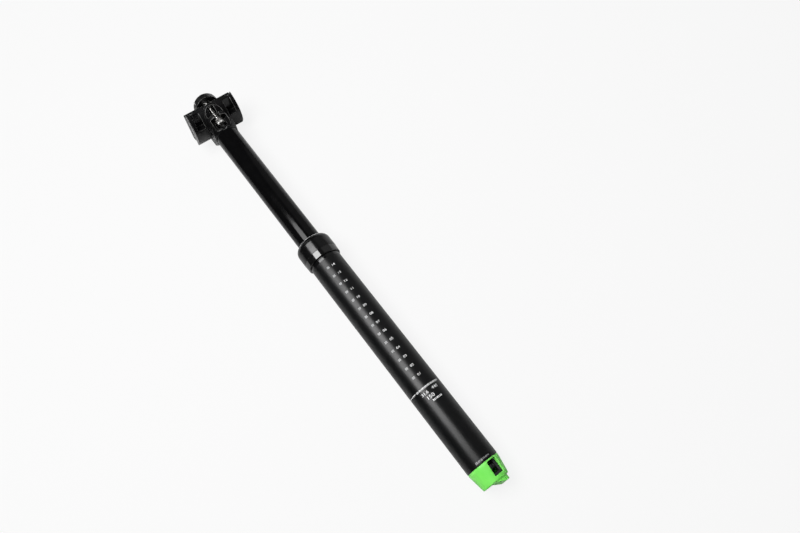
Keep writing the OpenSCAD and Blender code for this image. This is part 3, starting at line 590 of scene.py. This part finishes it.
# clamp bolts: a knurled socket head below, a threaded shank above, in millimetres
clampBolt = {
    "shank": 2.5, "head": 4.25, "headHeight": 5.0, "chamfer": 0.45,
    "socket": 2.0, "socketDeep": 2.5, "socketEdge": 0.3, "hexFade": 0.6,
    "ridges": 44, "ridge": 0.09, "lip": 0.05, "topEdge": 0.5, "topLip": 0.2, "topIn": 0.25,
    "kneeIn": 0.4, "kneeUp": 0.18, "lipUp": 0.6,   # shares of the chamfer
    "kneeKnurl": 0.1, "lipKnurl": 0.4,             # shares of a ridge
    "pitch": 0.8, "depth": 0.42, "rowsPerTurn": 7, "sink": 0.4, "threadFrom": 0.3, "tipEase": 0.5,
    "runOut": 3.0, "fadeIn": 1.0, "fadeEnd": 0.2, "fadeOut": 0.6, "headCols": 264, "shankCols": 56,
    "sharp": 40,   # degrees
}


def buildBolt(name, node, b):
    low, high = (np.array(v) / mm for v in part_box(node))
    midX, foot, tip = (low[0] + high[0]) / 2, low[2], high[2]
    top, floor = foot + b["headHeight"], foot + b["socketDeep"]
    # head: rows from the socket's floor out over the foot, up the knurled side and in over the top;
    # hexagon = 1 / cosine of the angle from the nearest flat's middle, knurl = ridge * cosine of ridges * angle
    angle = np.linspace(0, 2 * math.pi, b["headCols"], endpoint=False)
    hexShape = 1 / np.cos((angle + math.pi / 6) % (math.pi / 3) - math.pi / 6)
    knurl = b["ridge"] * np.cos(b["ridges"] * angle)
    c, r, lip, socket, edge = b["chamfer"], b["head"], b["lip"], b["socket"], b["socketEdge"]
    rows = np.array([  # radius, height, share of the hexagon, share of the knurl
        [0, floor, 1, 0], [socket, floor, 1, 0],
        [socket, foot + edge, 1, 0], [socket + edge, foot, b["hexFade"], 0],
        [r - c, foot, 0, 0], [r - b["kneeIn"] * c, foot + b["kneeUp"] * c, 0, b["kneeKnurl"]],
        [r - lip, foot + b["lipUp"] * c, 0, b["lipKnurl"]], [r, foot + c, 0, 1],
        [r, top - b["topEdge"], 0, 1], [r - lip, top - b["topLip"], 0, b["lipKnurl"]],
        [r - b["topIn"], top, 0, 0], [0, top, 0, 0]])
    radius = rows[:, :1] * (1 + rows[:, 2:3] * (hexShape[None, :] - 1)) + rows[:, 3:] * knurl[None, :]
    head = turnedPoints(radius, rows[:, 1], b["headCols"])
    # shank: radius = shank - depth * triangle wave of (height / pitch - turn), fading out under the head
    # and at the tip
    turn = np.linspace(0, 1, b["shankCols"], endpoint=False)
    ease = b["tipEase"]
    threaded = np.arange(top - b["threadFrom"], tip - ease, b["pitch"] / b["rowsPerTurn"])
    z = np.concatenate([[top - b["sink"]], threaded, [tip - ease, tip - ease / 2, tip, tip]])
    wave = np.abs(((z[:, None] / b["pitch"] - turn[None, :]) % 1) * 2 - 1)
    fade = np.clip((z - top - b["runOut"]) / b["fadeIn"], 0, 1)
    fade = fade * np.clip((tip - b["fadeEnd"] - z) / b["fadeOut"], 0, 1)
    easeTip = np.clip((z - tip + ease) / ease, 0, 1) * b["depth"]
    radius = b["shank"] - b["depth"] * wave * fade[:, None] - easeTip[:, None]
    radius[[0, -1]] = 0
    shank = turnedPoints(radius, z, b["shankCols"])
    points = np.concatenate([head, shank]) + np.array([midX, 0, 0]) * mm
    faces = np.concatenate([gridFaces(len(rows), b["headCols"]),
                            gridFaces(len(z), b["shankCols"], first=len(head))])
    mesh = meshFrom(name, points, faces)
    return finishPiece(name, mesh, bodyOf[node], "bolt_steel", (node,), sharp=b["sharp"])


buildBolt("frontBolt", "front_bolt", clampBolt)
buildBolt("rearBolt", "rear_bolt", clampBolt)
print("bolts cut")

# depth scale printed on the tube: a number and a dot every ten millimetres, and lines near the lower end;
# heights and sizes in millimetres, turns in degrees from the camera's side
printLook = {"lift": 0.03, "faceSteps": 3, "bolder": 0.012, "dotCols": 12, "lineCols": 20,
             "barCols": 3, "fill": 0.62, "vary": 0.2, "beat": 2.4}
depthScale = {"first": -13.2, "step": 10.0, "count": 14, "numberTurn": 16.5, "dotTurn": -5.0,
              "numberHeight": 2.2, "numberWide": 1.22, "dot": (2.5, 2.2)}
limitMarks = {
    "line": -155.1, "lineFrom": -84.0, "lineTo": -34.0, "lineTall": 0.65, "numberWide": 1.15,
    "rows": [(-155.4, -30.0, 62.0, 1.6, 22), (-168.9, 0.0, 36.0, 1.7, 7)],   # height, from, to, tall, bars
    "numbers": [("31.6", -160.0, -7.0, 2.7), ("440", -159.6, 33.0, 2.7),     # label, height, turn, tall
                ("150", -164.7, 4.0, 3.4)],
}
endMarks = {"height": -231.7, "rows": [(-17.0, 9.0, 1.7, 7), (11.0, 36.0, 1.2, 7)]}   # from, to, tall, bars


def wrapOnTube(flat, turn, height):
    # angle round the tube = the camera's azimuth + turn + flat x / radius; flat y runs up the tube
    radius = outerTube["radius"] + printLook["lift"]
    angle = math.radians(180 - photoView["turn"] + turn) + flat[:, 0] / radius
    return np.stack([radius * np.cos(angle), radius * np.sin(angle), height + flat[:, 1]], -1) * mm


def numberMesh(label, tall):
    # flat points and triangles of a number in Blender's own plain face, centred on the origin
    curve = bpy.data.curves.new("number", "FONT")
    curve.body = label
    curve.resolution_u = printLook["faceSteps"]
    curve.offset = printLook["bolder"]
    holder = bpy.data.objects.new("number", curve)
    scene.collection.objects.link(holder)
    flat = evaluatedMesh(holder)
    flat.calc_loop_triangles()
    points = readRows(flat.vertices, "co", 3)[:, :2].copy()
    faces = readRows(flat.loop_triangles, "vertices", 3, np.int32)
    bpy.data.meshes.remove(flat)
    points -= (points.min(0) + points.max(0)) / 2
    return points * tall / np.ptp(points[:, 1]), faces


def barGrid(width, tall, cols):
    # a flat bar of cols by 1 quads, centred on the origin
    x, y = np.meshgrid(np.linspace(-width / 2, width / 2, cols + 1), [-tall / 2, tall / 2])
    i = np.arange(cols)
    return np.stack([x.ravel(), y.ravel()], -1), np.stack([i, i + 1, i + cols + 2, i + cols + 1], -1)


def joinPrint(name, parts, finish="printWhite"):
    points, faces, first = [], [], 0
    for p, f in parts:
        points.append(p)
        faces += (np.asarray(f) + first).tolist()
        first += len(p)
    mesh = meshFrom(name, np.concatenate(points), faces, recalc=False)
    return finishPiece(name, mesh, "post_tube", finish)


def barRow(height, start, end, tall, count):
    # bars of uneven width, as a row of small marks: width = pitch * (fill + vary * sine of beat * number)
    pitch = (end - start) / count
    parts = []
    for k in range(count):
        share = printLook["fill"] + printLook["vary"] * math.sin(printLook["beat"] * k)
        width = math.radians(pitch) * outerTube["radius"] * share
        flat, faces = barGrid(width, tall, printLook["barCols"])
        parts.append((wrapOnTube(flat, start + pitch * (k + 0.5), height), faces))
    return parts


def buildScale(d):
    numbers, dots = [], []
    for i in range(d["count"]):
        height = d["first"] - d["step"] * i
        flat, faces = numberMesh(f"{d['count'] - i:02d}", d["numberHeight"])
        numbers.append((wrapOnTube(flat * [d["numberWide"], 1], d["numberTurn"], height), faces))
        flat, faces = barGrid(*d["dot"], printLook["dotCols"])
        dots.append((wrapOnTube(flat, d["dotTurn"], height), faces))
    joinPrint("depthNumbers", numbers)
    joinPrint("depthDots", dots, "printGrey")


def buildLimit(m):
    width = math.radians(m["lineTo"] - m["lineFrom"]) * outerTube["radius"]
    flat, faces = barGrid(width, m["lineTall"], printLook["lineCols"])
    parts = [(wrapOnTube(flat, (m["lineFrom"] + m["lineTo"]) / 2, m["line"]), faces)]
    for row in m["rows"]:
        parts += barRow(*row)
    for label, height, turn, tall in m["numbers"]:
        flat, faces = numberMesh(label, tall)
        parts.append((wrapOnTube(flat * [m["numberWide"], 1], turn, height), faces))
    return joinPrint("limitMarks", parts)


def buildEnd(m):
    parts = []
    for row in m["rows"]:
        parts += barRow(m["height"], *row)
    return joinPrint("endMarks", parts, "printGrey")


buildScale(depthScale)
buildLimit(limitMarks)
buildEnd(endMarks)
print("scale printed")

# stage: a white board that the post lies against, a soft lamp over the camera's left shoulder and three
# weaker ones: above it, to the right, and on the post's far side through the board's clear back;
# turns in degrees from the camera's side, the board's gap in millimetres, sizes and distances in metres
stage = {"turn": -2.0, "lean": 0.0241, "gap": 0.3, "size": 12.0, "glow": 0.86, "tone": 0.62, "world": 0.05}
lamps = {
    "softLamp": {"turn": -14.0, "rise": 9.3, "away": 1.2, "size": (0.80, 0.80), "power": 18.1},
    "highLamp": {"turn": -20.0, "rise": 60.0, "away": 2.6, "size": (1.4, 0.7), "power": 2.5},
    "fillLamp": {"turn": 65.0, "rise": 15.0, "away": 2.0, "size": (2.6, 2.0), "power": 3.2},
    "frontLamp": {"turn": 165.0, "rise": 20.0, "away": 1.6, "size": (1.4, 1.4), "power": 9.0},
}


def seenRays(tree):
    # the light path's outputs, and 1 for rays from the camera, straight or through glass, or else 0
    path = tree.nodes.new("ShaderNodeLightPath").outputs
    return path, mathNode(tree, "MAXIMUM", path["Is Camera Ray"], path["Is Transmission Ray"])


def mixShader(tree, share, first, second):
    node = tree.nodes.new("ShaderNodeMixShader")
    for source, socket in zip((share, first, second), node.inputs):
        wire(tree, source, socket)
    return node.outputs[0]


def boardMaterial(glow, tone):
    # seen by the camera or through glass the board is mostly its own white, so that only its shadows show;
    # its back is clear, and it casts no shadow
    material = bpy.data.materials.new("whiteBoard")
    material.use_nodes = True
    tree = material.node_tree
    tree.nodes.remove(tree.nodes["Principled BSDF"])
    plain = tree.nodes.new("ShaderNodeBsdfDiffuse")
    plain.inputs["Color"].default_value = (tone, tone, tone, 1)
    white = tree.nodes.new("ShaderNodeEmission").outputs[0]
    clear = tree.nodes.new("ShaderNodeBsdfTransparent").outputs[0]
    path, seen = seenRays(tree)
    face = mixShader(tree, mathNode(tree, "MULTIPLY", seen, glow), plain.outputs[0], white)
    behind = tree.nodes.new("ShaderNodeNewGeometry").outputs["Backfacing"]
    away = mathNode(tree, "MAXIMUM", behind, path["Is Shadow Ray"])
    wire(tree, mixShader(tree, away, face, clear), tree.nodes["Material Output"].inputs["Surface"])
    return material


def placeBoard(s):
    # depth behind the post = lean * height + reach + gap, just clear of everything at rest
    toward, right = viewAxes(photoView["turn"])[:2]
    turn = math.radians(s["turn"])
    back = np.array(-(toward * math.cos(turn) + right * math.sin(turn)))
    along, upward = np.array([-back[1], back[0], 0]), np.array([0, 0, 1])
    sloped = back - s["lean"] * upward
    reach = max((readRows(node.data.vertices, "co", 3) @ sloped).max() for node in frame["nodes"].values())
    span = [-s["size"], s["size"]]
    y, z = (v.ravel()[:, None] for v in np.meshgrid(span, span))
    points = (reach + s["gap"] * mm + s["lean"] * z) * back + y * along + z * upward
    mesh = bpy.data.meshes.new("board")
    mesh.from_pydata(points, [], [[0, 2, 3, 1]])
    mesh.materials.append(boardMaterial(s["glow"], s["tone"]))
    board = bpy.data.objects.new("board", mesh)
    scene.collection.objects.link(board)


def placeLamp(name, lamp):
    toward, right, up = viewAxes(photoView["turn"])
    turn, rise = math.radians(lamp["turn"]), math.radians(lamp["rise"])
    aim = (toward * math.cos(turn) + right * math.sin(turn)) * math.cos(rise) + up * math.sin(rise)
    data = bpy.data.lights.new(name, "AREA")
    data.shape = "RECTANGLE"
    data.size, data.size_y = lamp["size"]
    data.energy = lamp["power"]
    light = bpy.data.objects.new(name, data)
    scene.collection.objects.link(light)
    across = up.cross(aim).normalized()
    light.matrix_world = standAt(aim * lamp["away"], across, aim.cross(across), aim)


def lightWorld(strength):
    # white to the camera and through glass, dim for light and reflections
    world = bpy.data.worlds.new("studio")
    world.use_nodes = True
    scene.world = world
    tree = world.node_tree
    seen = seenRays(tree)[1]
    sky = tree.nodes["Background"]
    wire(tree, rangeNode(tree, seen, 0.0, 1.0, strength, 1.0), sky.inputs["Strength"])
    sky.inputs["Color"].default_value = (1, 1, 1, 1)


placeBoard(stage)
for name, lamp in lamps.items():
    placeLamp(name, lamp)
lightWorld(stage["world"])
print("stage set")
